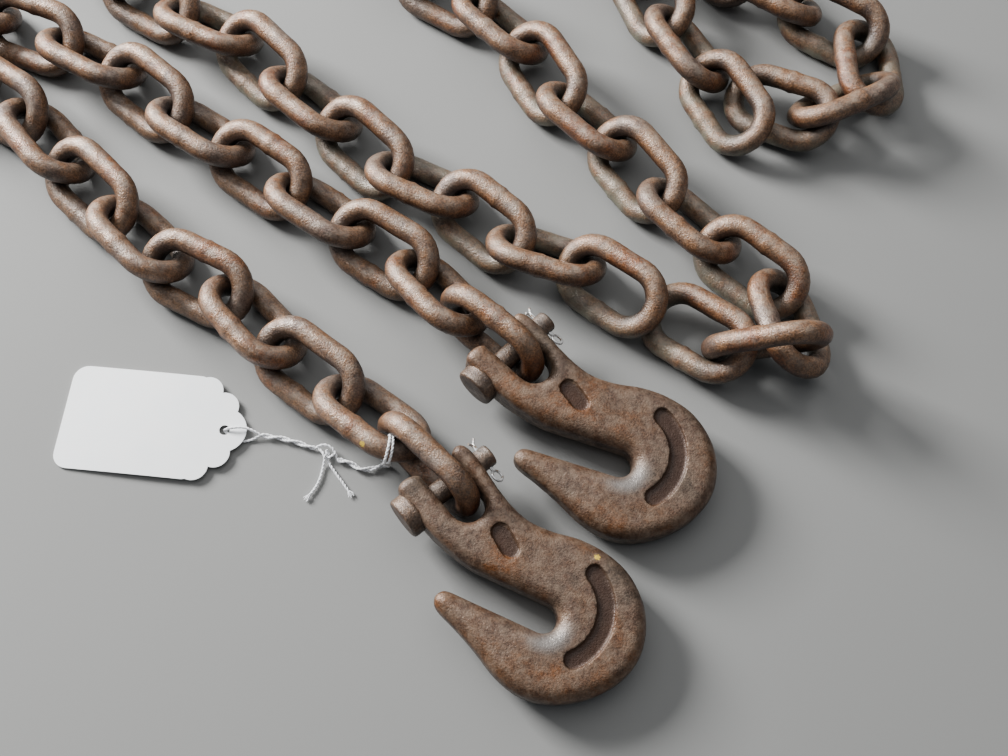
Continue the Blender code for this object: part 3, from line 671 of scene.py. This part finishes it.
# the link, heading and end that each run starts from and goes to, its number of links, the side that
# its last link leans to, and its guide
far_runs = [
    (("link_b1", -28, -1), ("link_c1", -25, -1), 12, 1,
     [(-0.250, 0.378), (-0.284, 0.394), (-0.309, 0.419), (-0.318, 0.452), (-0.306, 0.484), (-0.276, 0.500),
      (-0.243, 0.494), (-0.219, 0.468), (-0.211, 0.436), (-0.193, 0.405)]),
    (("link_c17", 136, 1), ("link_e1", -66, -1), 9, -1,
     [(-0.050, 0.412), (-0.076, 0.436), (-0.086, 0.470), (-0.068, 0.502), (-0.032, 0.510), (0.002, 0.494),
      (0.026, 0.466), (0.044, 0.440)]),
    (("link_e8", 148, 1), ("link_a1", -33, -1), 23, -1,
     [(0.094, 0.434), (0.082, 0.466), (0.070, 0.502), (0.044, 0.538), (0.000, 0.562), (-0.055, 0.572),
      (-0.110, 0.560), (-0.150, 0.530), (-0.190, 0.524), (-0.235, 0.538), (-0.290, 0.538), (-0.338, 0.510),
      (-0.362, 0.465), (-0.358, 0.412), (-0.330, 0.372), (-0.292, 0.350)]),
]

# a little longer, so that the links of one stretch meet
far_model = copy_of(link_model, "far_model")
for vertex in far_model.data.vertices:
    if abs(vertex.co.x) > NEAR:
        vertex.co.x += math.copysign((FUSE_DEPTH - CONTACT_GAP) / 2, vertex.co.x)


def eased(spots, steps, smoothing):
    """The joints between two fixed ends, shifted until each step has its length."""
    for easing in range(EASING_ROUNDS):
        if easing < smoothing:
            middles = [(before + after) / 2 for before, after in zip(spots, spots[2:])]
            spots[1:-1] = [spot.lerp(middle, 0.2) for spot, middle in zip(spots[1:-1], middles)]
        for place, length in enumerate(steps):
            gap = spots[place + 1] - spots[place]
            pull = gap * (1 - length / gap.length) / 2
            if place > 0:
                spots[place] = spots[place] + pull
            if place + 1 < len(steps):
                spots[place + 1] = spots[place + 1] - pull
    return spots


def end_joint(node, heading, end):
    """Where the next link bears on this one, at its far end or its near end."""
    return lie_of(node, heading) @ Vector((end * (LINK_INSIDE_LENGTH - CONTACT_GAP) / 2, 0, 0))


def evenly_along(guide, count):
    """The joints of so many links, spread evenly along a line of points."""
    lengths = [(after - before).length for before, after in zip(guide, guide[1:])]
    spots = []
    for place in range(count + 1):
        ahead = sum(lengths) * place / count
        leg = 0
        while leg < len(lengths) - 1 and ahead > lengths[leg]:
            ahead -= lengths[leg]
            leg += 1
        spots.append(guide[leg].lerp(guide[leg + 1], ahead / lengths[leg]))
    return spots


def plays_between(headings):
    """The free play at each joint: more at a turn, an end or between stretches, none inside a stretch."""
    plays = []
    for place, (before, after) in enumerate(zip(headings, headings[1:])):
        play = CONTACT_GAP + TURN_SLACK * abs(math.sin(math.radians(after - before)))
        if place in (0, len(headings) - 2):
            play += STRETCH_END_PLAY
        elif place % STRETCH_LINKS == 0:
            play += STRETCH_BREAK_PLAY
        else:
            play -= FUSE_DEPTH
        plays.append(play)
    return plays


def poses_along(joints, plays, side):
    """The poses of the links from joint to joint, which lean to one side and the other by turns."""
    poses = []
    for place, (start, end) in enumerate(zip(joints, joints[1:])):
        along = (end - start).normalized()
        middle = start + along * (LINK_INSIDE_LENGTH - plays[place]) / 2
        across = UP.cross(along).normalized()
        pose = Matrix((along, across, along.cross(across))).transposed().to_4x4()
        lean = FAR_ROLL * side * (-1) ** (len(joints) - 2 - place)
        turned_over = 180 if place % 3 == 1 else 0
        roll = Matrix.Rotation(math.radians(lean + turned_over), 4, "X")
        poses.append(Matrix.Translation(middle) @ pose @ roll)
    return poses


number = 0
for first, second, count, side, guide in far_runs:
    begin = end_joint(*first)
    finish = end_joint(*second)
    spots = evenly_along([begin.xy, *[HEAP.xy + Vector(point) for point in guide], finish.xy], count)
    spots = eased(spots, [LINK_INSIDE_LENGTH - CONTACT_GAP] * count, SMOOTHING_ROUNDS)
    into = first[1] + (180 if first[2] < 0 else 0)
    for fitting in range(FITTING_ROUNDS):
        headings = [math.degrees(math.atan2((b - a).y, (b - a).x)) for a, b in zip(spots, spots[1:])]
        plays = plays_between([into, *headings, second[1]])
        spots = eased(spots, [LINK_INSIDE_LENGTH - (a + b) / 2 for a, b in zip(plays, plays[1:])], 0)
    rest = WIRE_DIAMETER / 2 + HALF_WIDTH * math.sin(math.radians(FAR_ROLL))
    joints = [Vector((*spot, rest)) for spot in spots]
    joints[0].z = begin.z
    joints[-1].z = finish.z
    poses = poses_along(joints, plays, side)
    for low in range(0, count, STRETCH_LINKS):
        number += 1
        stretch = []
        for place in range(low, min(low + STRETCH_LINKS, count)):
            others = poses[max(place - 1, 0):place] + poses[place + 1:place + 2]
            beside = numpy.vstack([centreline(other) for other in others])
            stretch.append(lay_link(f"steel_far_chain_{number}", far_model, poses[place], RUST, beside))
        deselect_all()
        for link in stretch:
            link.select_set(True)
        bpy.context.view_layer.objects.active = stretch[0]
        bpy.ops.object.join()
        stretch[0].name = f"steel_far_chain_{number}"
        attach(stretch[0], "root")
        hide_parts(f"far_chain_{number}")
bpy.data.objects.remove(link_model)
bpy.data.objects.remove(far_model)


# Grab hooks. Drop-forged steel, brown with rust, with a clevis for the chain's last link, a narrow
# throat that grips one link edge-on, and two bare sunk panels. Use has worn the throat's end bright,
# and a highlight is painted over that worn patch.
HOOK_LIES = {"a": ((0.0873, -0.1936, 0.0069), -49.9), "b": ((0.1135, -0.1323, 0.0069), -43.1)}
HOOK_LEAN = 4.68
HOOK_THICKNESS = 0.017
THROAT_WIDTH = 0.0116
THROAT_ANGLE = 27.0
THROAT_DEPTH = 0.0335
THROAT_END = (0.0465, -0.0043)
CLEVIS_SLOT_WIDTH = 0.015
PANEL_DEPTH = 0.0015
OVAL_PANEL = [(0.0098, 0.0030), (0.0136, 0.0025), (0.0176, 0.0018)]
OVAL_PANEL_WIDTH = 0.0076
CRESCENT_CENTRE = (0.0450, 0.0002)
CRESCENT_RADIUS = 0.0220
CRESCENT_TURN = (88, -16)
CRESCENT_WIDTH = 0.0074
CLEVIS_ROUNDING = 0.0040
BOW_ROUNDING = 0.0066
BOW_STARTS = -0.0040
BOW_BLEND = 0.0180
CROWNING = 0.82
POINT_THINNING = 0.28
POINT_BETWEEN = (0.0040, 0.0520)
POINT_TAPER = 0.0360
POINT_FROM_THROAT = 0.0030
THROAT_SLOPE = 0.51
HOOK_MESH_SIZE = 0.0005
PIN_FROM_SLOT_BOTTOM = 0.0192
PIN_DIAMETER = 0.0095
HOLE_CLEARANCE = 0.0003


def arc(centre, radius, first, last, steps):
    """Points of a flat arc between two angles."""
    turns = [math.radians(first + (last - first) * step / steps) for step in range(steps + 1)]
    return [Vector((centre[0] + radius * math.cos(t), centre[1] + radius * math.sin(t))) for t in turns]


def slab(name, outline, bottom, top):
    """A solid with this flat outline: a filled circle whose corners are moved onto it, then extruded."""
    deselect_all()
    bpy.ops.mesh.primitive_circle_add(vertices=len(outline), radius=1, fill_type="NGON")
    piece = bpy.context.object
    piece.name = name
    for vertex, point in zip(piece.data.vertices, outline):
        vertex.co = (point[0], point[1], bottom)
    bpy.ops.object.mode_set(mode="EDIT")
    bpy.ops.mesh.select_all(action="SELECT")
    bpy.ops.mesh.extrude_region_move(TRANSFORM_OT_translate={"value": (0, 0, top - bottom)})
    bpy.ops.mesh.select_all(action="SELECT")
    bpy.ops.mesh.normals_make_consistent(inside=False)
    bpy.ops.object.mode_set(mode="OBJECT")
    return piece


slot_half = CLEVIS_SLOT_WIDTH / 2
back_and_bow = [
    (-0.0278, 0.0075), (-0.0294, 0.0105), (-0.0282, 0.0133), (-0.0240, 0.0148), (-0.0160, 0.0148),
    (-0.0060, 0.0139), (0.0030, 0.0139), (0.0120, 0.0154), (0.0215, 0.0201), (0.0310, 0.0270),
    (0.0420, 0.0320), (0.0545, 0.0338), (0.0676, 0.0303), (0.0777, 0.0222), (0.0832, 0.0115),
    (0.0836, -0.0010), (0.0798, -0.0130), (0.0727, -0.0236), (0.0630, -0.0304), (0.0520, -0.0330),
    (0.0395, -0.0331), (0.0270, -0.0340), (0.0200, -0.0349), (0.0163, -0.0347), (0.0138, -0.0331),
    (0.0131, -0.0305), (0.0140, -0.0281), (0.0162, -0.0264),
]
neck_and_ear = [
    (0.0070, -0.0164), (-0.0010, -0.0180), (-0.0090, -0.0190), (-0.0180, -0.0190), (-0.0250, -0.0190),
    (-0.0292, -0.0184), (-0.0309, -0.0150), (-0.0302, -0.0105), (-0.0278, -0.0075),
]
throat = arc(THROAT_END, THROAT_WIDTH / 2, THROAT_ANGLE - 90, THROAT_ANGLE + 90, 14)
inward = Vector((math.cos(math.radians(THROAT_ANGLE)), math.sin(math.radians(THROAT_ANGLE))))
clevis_slot = arc((-slot_half, 0), slot_half, -90, 90, 14)
outline = smooth_through(back_and_bow, 5) + throat
outline += [throat[-1] - THROAT_DEPTH * inward] + smooth_through(neck_and_ear, 5)[:-1] + clevis_slot


def panel(spine, width):
    """A cutter for a shallow sunk panel of even width along a line of points."""
    left = []
    right = []
    for place, point in enumerate(spine):
        ahead = (spine[min(place + 1, len(spine) - 1)] - spine[max(place - 1, 0)]).normalized()
        side = Vector((-ahead.y, ahead.x)) * width / 2
        left.append(point + side)
        right.append(point - side)
    rounds = []
    for end, beside in ((spine[-1], spine[-2]), (spine[0], spine[1])):
        facing = math.degrees(math.atan2((end - beside).y, (end - beside).x))
        rounds.append(arc(end, width / 2, facing - 90, facing + 90, 10)[1:-1])
    rim = right + rounds[0] + left[::-1] + rounds[1]
    return slab("panel", rim, HOOK_THICKNESS - PANEL_DEPTH, HOOK_THICKNESS + 0.002)


hook_model = slab("hook_model", outline, 0.0, HOOK_THICKNESS)
oval = [Vector(point) for point in OVAL_PANEL]
crescent = arc(CRESCENT_CENTRE, CRESCENT_RADIUS, *CRESCENT_TURN, 16)
boolean(hook_model, panel(oval, OVAL_PANEL_WIDTH), "DIFFERENCE")
boolean(hook_model, panel(crescent, CRESCENT_WIDTH), "DIFFERENCE")
deselect_all()
bpy.ops.mesh.primitive_cylinder_add(vertices=40, radius=PIN_DIAMETER / 2 + HOLE_CLEARANCE, depth=0.09,
                                    location=(-PIN_FROM_SLOT_BOTTOM, 0, HOOK_THICKNESS / 2),
                                    rotation=(math.radians(90), 0, 0))
boolean(hook_model, bpy.context.object, "DIFFERENCE")
modifier = hook_model.modifiers.new("even_mesh", "REMESH")
modifier.mode = "VOXEL"
modifier.voxel_size = HOOK_MESH_SIZE
bpy.ops.object.modifier_apply(modifier=modifier.name)

# crowned faces: the sides fall away within the rounding of the outline, and the point gets thinner
corners = numpy.array([vertex.co[:2] for vertex in hook_model.data.vertices])
starts = numpy.array([point[:2] for point in outline])
legs = numpy.roll(starts, -1, axis=0) - starts
from_edge = numpy.full(len(corners), 1.0)
for start, leg in zip(starts, legs):
    share = numpy.clip((corners - start) @ leg / (leg @ leg), 0, 1)
    from_edge = numpy.minimum(from_edge, numpy.hypot(*(corners - start - share[:, None] * leg).T))
half = HOOK_THICKNESS / 2
for vertex, inwards in zip(hook_model.data.vertices, from_edge):
    x, y, z = vertex.co
    on_bow = min(1, max(0, (x - BOW_STARTS) / BOW_BLEND))
    rounding = CLEVIS_ROUNDING + (BOW_ROUNDING - CLEVIS_ROUNDING) * on_bow
    short = max(0, rounding - inwards)
    drop = (rounding - math.sqrt(rounding**2 - short**2)) * CROWNING
    past_throat = y < THROAT_END[1] + min(0, (x - THROAT_END[0]) * THROAT_SLOPE) - POINT_FROM_THROAT
    thin = 0
    if past_throat and POINT_BETWEEN[0] < x < POINT_BETWEEN[1]:
        thin = POINT_THINNING * min(1, (POINT_BETWEEN[1] - x) / POINT_TAPER)
    vertex.co.z = half + (z - half) * (half - drop) / half * (1 - thin)
modifier = hook_model.modifiers.new("forged_smoothness", "SMOOTH")
modifier.factor = 0.5
modifier.iterations = 9
bpy.ops.object.modifier_apply(modifier=modifier.name)

# where the panels are sunk, and where the throat is worn and a highlight is painted, for the material
OVAL_MARK_CENTRE = (0.0137, 0.0024)
OVAL_MARK_REACH = (0.0080, 0.0042)
CRESCENT_MARK_REACH = CRESCENT_WIDTH / 2 + 0.0002
CRESCENT_MARK_TURN = (CRESCENT_TURN[1] - 10, CRESCENT_TURN[0] + 10)
UPPER_FACE = HOOK_THICKNESS / 2 + 0.004
WEAR_AND_HIGHLIGHT_RADIUS = 0.0100
WEAR_AND_HIGHLIGHT_REACH = 0.0050
WEAR_AND_HIGHLIGHT_TOWARDS = -22
WEAR_AND_HIGHLIGHT_MOST = 0.75


def distance_and_turn(spot, centre):
    """How far a spot is from a centre, and in which direction."""
    x, y = spot[0] - centre[0], spot[1] - centre[1]
    return math.hypot(x, y), math.degrees(math.atan2(y, x))


sunk = hook_model.data.attributes.new("sunk", "FLOAT", "POINT")
worn = hook_model.data.attributes.new("worn", "FLOAT", "POINT")
for vertex in hook_model.data.vertices:
    x, y, z = vertex.co
    away, turn = distance_and_turn((x, y), CRESCENT_CENTRE)
    in_panel = (abs(away - CRESCENT_RADIUS) < CRESCENT_MARK_REACH
                and CRESCENT_MARK_TURN[0] < turn < CRESCENT_MARK_TURN[1])
    in_panel |= math.hypot((x - OVAL_MARK_CENTRE[0]) / OVAL_MARK_REACH[0],
                           (y - OVAL_MARK_CENTRE[1]) / OVAL_MARK_REACH[1]) < 1
    if in_panel and z > UPPER_FACE:
        sunk.data[vertex.index].value = min(1, max(0, (HOOK_THICKNESS - z) / PANEL_DEPTH))
    away, turn = distance_and_turn((x, y), THROAT_END)
    if z > half:
        round_throat = max(0, 1 - abs(away - WEAR_AND_HIGHLIGHT_RADIUS) / WEAR_AND_HIGHLIGHT_REACH)
        facing = max(0, math.cos(math.radians(turn - WEAR_AND_HIGHLIGHT_TOWARDS)))
        worn.data[vertex.index].value = min(WEAR_AND_HIGHLIGHT_MOST, round_throat * facing**2)


def forged_rust():
    """Brown rust on forged steel, painted shade below, redder in the panels, a paler film, and a patch worn
    bright with a painted highlight.
    """
    material, tree, shader, add = new_material("rusted_forged_hook")
    place = add("ShaderNodeTexCoord").outputs["Object"]
    patches = noise(add, place, 38, 5, 0.6)
    colour = ramp(add, patches, [(0.36, srgb(102, 64, 35)), (0.45, srgb(91, 65, 46)),
                                 (0.55, srgb(86, 65, 52)), (0.65, srgb(74, 61, 50))])
    blotches = noise(add, place, 190, 6, 0.62)
    colour = shaded(add, colour, blotches,
                    (0.34, (0.74, 0.71, 0.68, 1)), (0.50, WHITE), (0.66, (1.24, 1.24, 1.22, 1)))
    grains = noise(add, place, 1250, 3, 0.6)
    colour = shaded(add, colour, grains,
                    (0.34, (0.60, 0.56, 0.52, 1)), (0.50, WHITE), (0.64, (1.40, 1.38, 1.35, 1)))
    # painted shade on the faces that look down
    colour = shaded(add, colour, attribute(add, "upward"), *PAINTED_UNDERSIDE_SHADE)
    film = ramp(add, noise(add, place, 260, 6, 0.7), [(0.42, BLACK), (0.66, (0.55, 0.55, 0.55, 1))])
    colour = mix(add, film, colour, srgb(140, 120, 102))
    in_panel = calculate(add, "MULTIPLY", attribute(add, "sunk"), 0.86)
    colour = mix(add, in_panel, colour, srgb(48, 26, 13))
    # the throat's worn patch: polished, and brighter in colour as a painted highlight
    bright = attribute(add, "worn")
    colour = mix(add, bright, colour, srgb(138, 134, 130))
    colour = paint_dab(add, place, colour, HOOK_DAB)
    tree.links.new(colour, shader.inputs["Base Color"])
    tree.links.new(map_range(add, bright, 0, 1, 0.25, 0.60), shader.inputs["Metallic"])
    rough = map_range(add, blotches, 0.35, 0.7, 0.52, 0.32)
    polish = map_range(add, bright, 0, 1, 1.0, 0.80)
    tree.links.new(calculate(add, "MULTIPLY", rough, polish), shader.inputs["Roughness"])
    set_bump(add, shader, calculate(add, "ADD", blotches, grains), 0.7, 0.0004)
    return material


FORGED_RUST = forged_rust()
hook_model.data.materials.append(FORGED_RUST)
hook_poses = {}
for letter, (slot_bottom, heading) in HOOK_LIES.items():
    hook = copy_of(hook_model, f"forged_grab_hook_{letter}")
    turn = Matrix.Rotation(math.radians(heading), 4, "Z") @ Matrix.Rotation(math.radians(HOOK_LEAN), 4, "Y")
    hook_poses[letter] = Matrix.Translation(slot_bottom) @ turn
    hook.matrix_world = hook_poses[letter]
    keep_place_in_mesh(hook)
    mark_upward(hook)
    select_only(hook)
    bpy.ops.object.shade_smooth_by_angle(angle=math.radians(38))
    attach(hook, "root")
    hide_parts(f"grab_hook_{letter}")
bpy.data.objects.remove(hook_model)


# Clevis pins. A headed steel pin goes through both ears of each hook and the end link's crown, and
# is drilled at its point for the cotter.
PIN_POINT = 0.0215
PIN_HEAD_DIAMETER = 0.018
PIN_HEAD_THICKNESS = 0.0065
PIN_HEAD_SEAT = 0.0172
PIN_HEAD_CROWN = (0.0040, 0.0004)
PIN_EDGE_WEAR = 0.0011
COTTER_FROM_POINT = 0.0036
COTTER_WIRE = 0.0009

deselect_all()
under_head = -PIN_HEAD_SEAT - CONTACT_GAP
bpy.ops.mesh.primitive_cylinder_add(vertices=36, radius=PIN_DIAMETER / 2, depth=PIN_POINT - under_head,
                                    location=(0, 0, (PIN_POINT + under_head) / 2))
pin_model = bpy.context.object
bpy.ops.object.transform_apply(location=True, rotation=True, scale=True)
start_selection("FACE")
for face in pin_model.data.polygons:
    face.select = face.normal.z < -0.9
bpy.ops.object.mode_set(mode="EDIT")
bpy.ops.mesh.inset(thickness=NEAR, depth=0)
wider = PIN_HEAD_DIAMETER / PIN_DIAMETER
bpy.ops.transform.resize(value=(wider, wider, 1))
bpy.ops.mesh.extrude_region_move(TRANSFORM_OT_translate={"value": (0, 0, -PIN_HEAD_THICKNESS)})
bpy.ops.mesh.inset(thickness=PIN_HEAD_CROWN[0], depth=PIN_HEAD_CROWN[1])
bpy.ops.object.mode_set(mode="OBJECT")
bpy.ops.object.shade_smooth_by_angle(angle=math.radians(30))
modifier = pin_model.modifiers.new("worn_edges", "BEVEL")
modifier.width = PIN_EDGE_WEAR
modifier.segments = 3
modifier.limit_method = "ANGLE"
modifier.angle_limit = math.radians(35)
bpy.ops.object.modifier_apply(modifier=modifier.name)
bpy.ops.mesh.primitive_cylinder_add(vertices=20, radius=COTTER_WIRE + HOLE_CLEARANCE, depth=0.03,
                                    location=(0, 0, PIN_POINT - COTTER_FROM_POINT),
                                    rotation=(0, math.radians(90), 0))
boolean(pin_model, bpy.context.object, "DIFFERENCE")

PIN_RUST = rust("rusted_pin", tan=srgb(100, 78, 60), brown=srgb(78, 56, 38), mauve=srgb(84, 72, 62),
                dark=srgb(28, 15, 8), pale=srgb(118, 102, 88), dust=srgb(88, 84, 72), dusty=0.1, shine=0.34)
pin_model.data.materials.append(PIN_RUST)
for letter, hook_pose in hook_poses.items():
    pin = copy_of(pin_model, f"steel_clevis_pin_{letter}")
    middle = Matrix.Translation((-PIN_FROM_SLOT_BOTTOM, 0, HOOK_THICKNESS / 2))
    pin.matrix_world = hook_pose @ middle @ Matrix.Rotation(math.radians(-90), 4, "X")
    keep_place_in_mesh(pin)
    mark_upward(pin)
    select_only(pin)
    bpy.ops.object.shade_smooth_by_angle(angle=math.radians(35))
    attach(pin, "root")
    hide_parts(f"clevis_pin_{letter}")
bpy.data.objects.remove(pin_model)


# Cotters. Bright half-round wire, folded double with an open eye and drawn as round wire, pushed
# through the pin's point from the bow's side, with its two legs spread beyond the pin.
COTTER_RADIUS = 0.62 * COTTER_WIRE
COTTER_EYE_RADIUS = 0.0025
COTTER_EYE_TURN = (-78, 258)
COTTER_LEG = 0.0060
COTTER_LEG_GAP = 0.00002
COTTER_BENDS = (0.0012, 0.0010)
COTTER_TURN = 90
COTTER_ROLL = 50

material, tree, shader, add = new_material("bright_cotter_wire")
place = add("ShaderNodeTexCoord").outputs["Object"]
stain = noise(add, place, 500, 4)
colour = ramp(add, stain, [(0.36, srgb(150, 128, 108)), (0.46, srgb(214, 214, 212)),
                           (0.8, srgb(240, 240, 240))])
tree.links.new(colour, shader.inputs["Base Color"])
shader.inputs["Metallic"].default_value = 0.5
shader.inputs["Roughness"].default_value = 0.42
set_bump(add, shader, stain, 0.2, 0.0002)
BRIGHT_WIRE = material

leg_top = PIN_DIAMETER / 2 + 2 * COTTER_WIRE
half_wire = COTTER_WIRE / 2 + COTTER_LEG_GAP
eye = arc((0, leg_top + COTTER_EYE_RADIUS), COTTER_EYE_RADIUS, *COTTER_EYE_TURN, 20)
first_leg = [(COTTER_LEG / 2, -leg_top - COTTER_LEG / 2), (half_wire * 2, -leg_top - COTTER_BENDS[0]),
             (half_wire, -leg_top), (half_wire, leg_top - COTTER_BENDS[0])]
second_leg = [(-half_wire, leg_top - COTTER_BENDS[0]), (-half_wire, -leg_top),
              (-half_wire * 1.5, -leg_top - COTTER_BENDS[1]), (-COTTER_LEG / 3, -leg_top - COTTER_LEG / 3)]
wire = smooth_through([(x, 0, y) for x, y in (*first_leg, *eye, *second_leg)], 3)
for letter, hook_pose in hook_poses.items():
    middle = Vector((-PIN_FROM_SLOT_BOTTOM, PIN_POINT - COTTER_FROM_POINT, HOOK_THICKNESS / 2))
    turn = (Matrix.Rotation(math.radians(COTTER_TURN), 4, "Y")
            @ Matrix.Rotation(math.radians(COTTER_ROLL), 4, "Z"))
    pose = hook_pose @ Matrix.Translation(middle) @ turn
    bent = [pose @ point for point in wire]
    cotter = sweep(f"wire_cotter_{letter}", [bent], COTTER_RADIUS, 10)
    cotter.data.materials.append(BRIGHT_WIRE)
    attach(cotter, "root")
    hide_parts(f"cotter_{letter}")


# Floor and light. A plain pale floor, with soft light from the upper left as from a window, and a
# fainter skylight above.
LIT_SPOT = HEAP * 0.6

deselect_all()
bpy.ops.mesh.primitive_plane_add(size=6, location=(0, 0, 0))
floor = bpy.context.object
floor.name = "floor"
material, tree, shader, add = new_material("pale_floor")
shader.inputs["Base Color"].default_value = srgb(134, 134, 132)
shader.inputs["Roughness"].default_value = 0.85
floor.data.materials.append(material)

for name, place, size, power in (("window", (-0.95, 0.60, 0.65), 0.5, 66.0),
                                 ("skylight", (0.1, 0.5, 1.5), 2.4, 22.0)):
    bpy.ops.object.light_add(type="AREA", location=place)
    light = bpy.context.object
    light.name = name
    light.data.shape = "SQUARE"
    light.data.size = size
    light.data.energy = power
    light.rotation_euler = (LIT_SPOT - Vector(place)).to_track_quat("-Z", "Y").to_euler()
world = bpy.data.worlds.new("studio")
bpy.context.scene.world = world
world.use_nodes = True
background = world.node_tree.nodes["Background"]
background.inputs["Color"].default_value = (0.80, 0.88, 1.0, 1.0)
background.inputs["Strength"].default_value = 0.12
